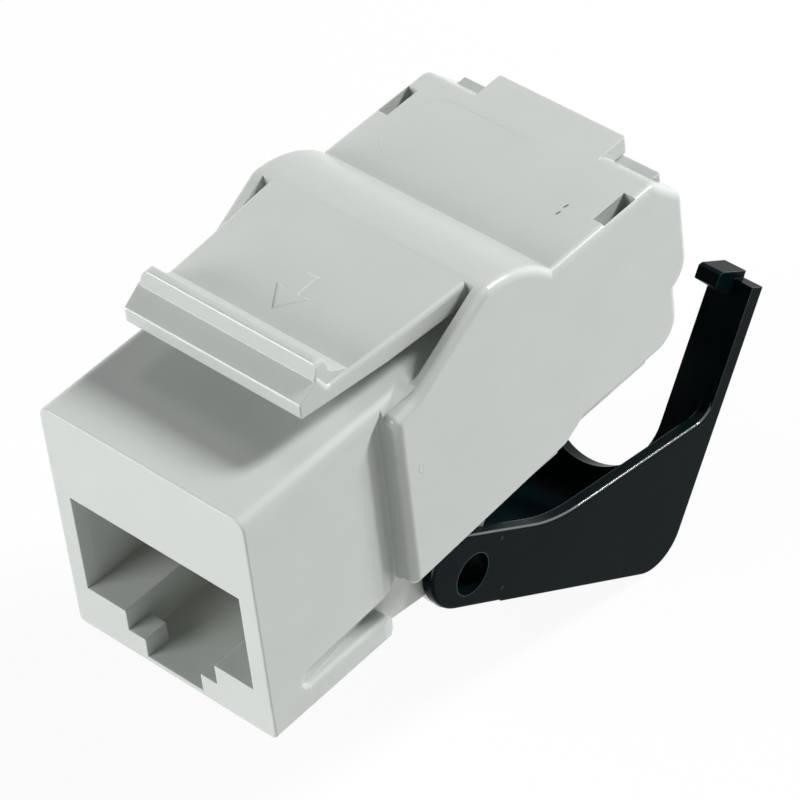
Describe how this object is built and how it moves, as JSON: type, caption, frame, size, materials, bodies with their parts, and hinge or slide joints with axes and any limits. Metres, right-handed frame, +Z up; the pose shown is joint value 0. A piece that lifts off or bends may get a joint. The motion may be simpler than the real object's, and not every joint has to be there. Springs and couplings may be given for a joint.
{
  "type": "keystone jack",
  "caption": "Snap-in modular socket with a latching arm over its front body and a hinged lever that presses the wires on to the blades",
  "frame": {"origin": "middle of the front face's bottom edge", "axes": "+X across the jack, +Y from the front face back to the cable side, +Z up to the latch"},
  "size_m": [0.0164, 0.0414, 0.033],
  "materials": {
    "housing_plastic": "satin light grey",
    "carrier_plastic": "satin mid grey",
    "gold_wire": "polished gold plating",
    "board_laminate": "green solder mask",
    "tinned_blade": "tinned",
    "manager_plastic": "satin grey",
    "lever_plastic": "glossy black"
  },
  "bodies": {
    "jack": {"keystone_housing": "housing_plastic", "contact_carrier": "carrier_plastic", "spring_contact_1": "gold_wire", "spring_contact_2": "gold_wire", "spring_contact_3": "gold_wire", "spring_contact_4": "gold_wire", "spring_contact_5": "gold_wire", "spring_contact_6": "gold_wire", "spring_contact_7": "gold_wire", "spring_contact_8": "gold_wire", "circuit_board": "board_laminate", "idc_block": "carrier_plastic", "idc_blade_1": "tinned_blade", "idc_blade_2": "tinned_blade", "idc_blade_3": "tinned_blade", "idc_blade_4": "tinned_blade", "idc_blade_5": "tinned_blade", "idc_blade_6": "tinned_blade", "idc_blade_7": "tinned_blade", "idc_blade_8": "tinned_blade"},
    "manager": {"wire_manager": "manager_plastic"},
    "lever": {"termination_lever": "lever_plastic"}
  },
  "joints": [
    {"name": "lever_hinge", "type": "hinge", "parent": "jack", "child": "lever", "pos_m": [0, 0.0157, -0.00064], "axis": [1, 0, 0], "range_deg": [0, 33.3]},
    {"name": "manager_slide", "type": "slide", "parent": "jack", "child": "manager", "axis": [0, -1, 0], "range_m": [0, 0.0009]}
  ],
  "couplings": [
    {"joint": "manager_slide", "follows": "lever_hinge", "m_per_rad": 0.0015485}
  ]
}
